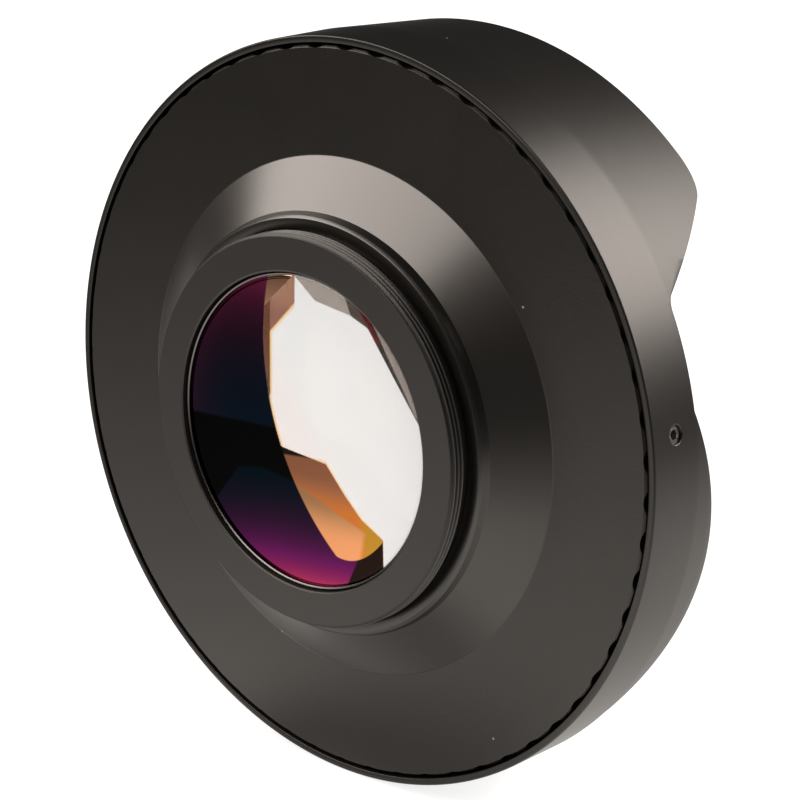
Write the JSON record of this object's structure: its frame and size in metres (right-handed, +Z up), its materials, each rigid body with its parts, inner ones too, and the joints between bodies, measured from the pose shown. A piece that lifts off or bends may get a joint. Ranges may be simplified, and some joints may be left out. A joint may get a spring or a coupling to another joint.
{
  "type": "fisheye conversion lens",
  "caption": "Screw-on fisheye conversion lens: filter-thread mount, cone and notched rear plate, coated glass and a turning petal hood locked by set screws.",
  "frame": {"origin": "on the optical axis, at the middle of the male mount thread", "axes": "+Y along the optical axis from the mount towards the subject, +Z up and +X to the right seen from behind"},
  "size_m": [0.1114, 0.0379, 0.1114],
  "materials": {
    "mount_anodised": "satin black anodised",
    "housing_anodised": "bead-blasted black anodised",
    "hood_anodised": "satin black anodised",
    "ring_anodised": "satin black anodised",
    "rear_ring_anodised": "satin black anodised",
    "cell_matt": "matt black paint",
    "screw_steel": "blackened steel",
    "front_glass": "coated",
    "inner_glass": "coated",
    "rear_glass": "coated, magenta and amber reflections",
    "seal_rubber": "matt",
    "shim_plastic": "matt"
  },
  "bodies": {
    "lens_body": {"mount_ring": "mount_anodised", "rear_housing": "housing_anodised", "front_lens": "front_glass", "front_shim": "shim_plastic", "front_seal": "seal_rubber", "front_retaining_ring": "ring_anodised", "inner_cell": "cell_matt", "cell_lock_ring": "ring_anodised", "second_lens": "inner_glass", "second_retaining_ring": "ring_anodised", "light_baffle": "cell_matt", "lens_spacer": "cell_matt", "third_lens": "inner_glass", "rear_flint_lens": "inner_glass", "rear_crown_lens": "rear_glass", "rear_retaining_ring": "rear_ring_anodised"},
    "hood": {"hood": "hood_anodised"},
    "set_screw_1": {"set_screw_1": "screw_steel"},
    "set_screw_2": {"set_screw_2": "screw_steel"},
    "set_screw_3": {"set_screw_3": "screw_steel"}
  },
  "joints": [
    {"name": "hood_turn", "type": "hinge", "parent": "lens_body", "child": "hood", "pos_m": [0, 0, 0], "axis": [0, 1, 0], "continuous": true},
    {"name": "set_screw_1_travel", "type": "slide", "parent": "hood", "child": "set_screw_1", "axis": [0.9903, 0, 0.1392], "range_m": [0, 0.00135]},
    {"name": "set_screw_2_travel", "type": "slide", "parent": "hood", "child": "set_screw_2", "axis": [-0.3746, 0, -0.9272], "range_m": [0, 0.00135]},
    {"name": "set_screw_3_travel", "type": "slide", "parent": "hood", "child": "set_screw_3", "axis": [-0.6157, 0, 0.788], "range_m": [0, 0.00135]}
  ]
}
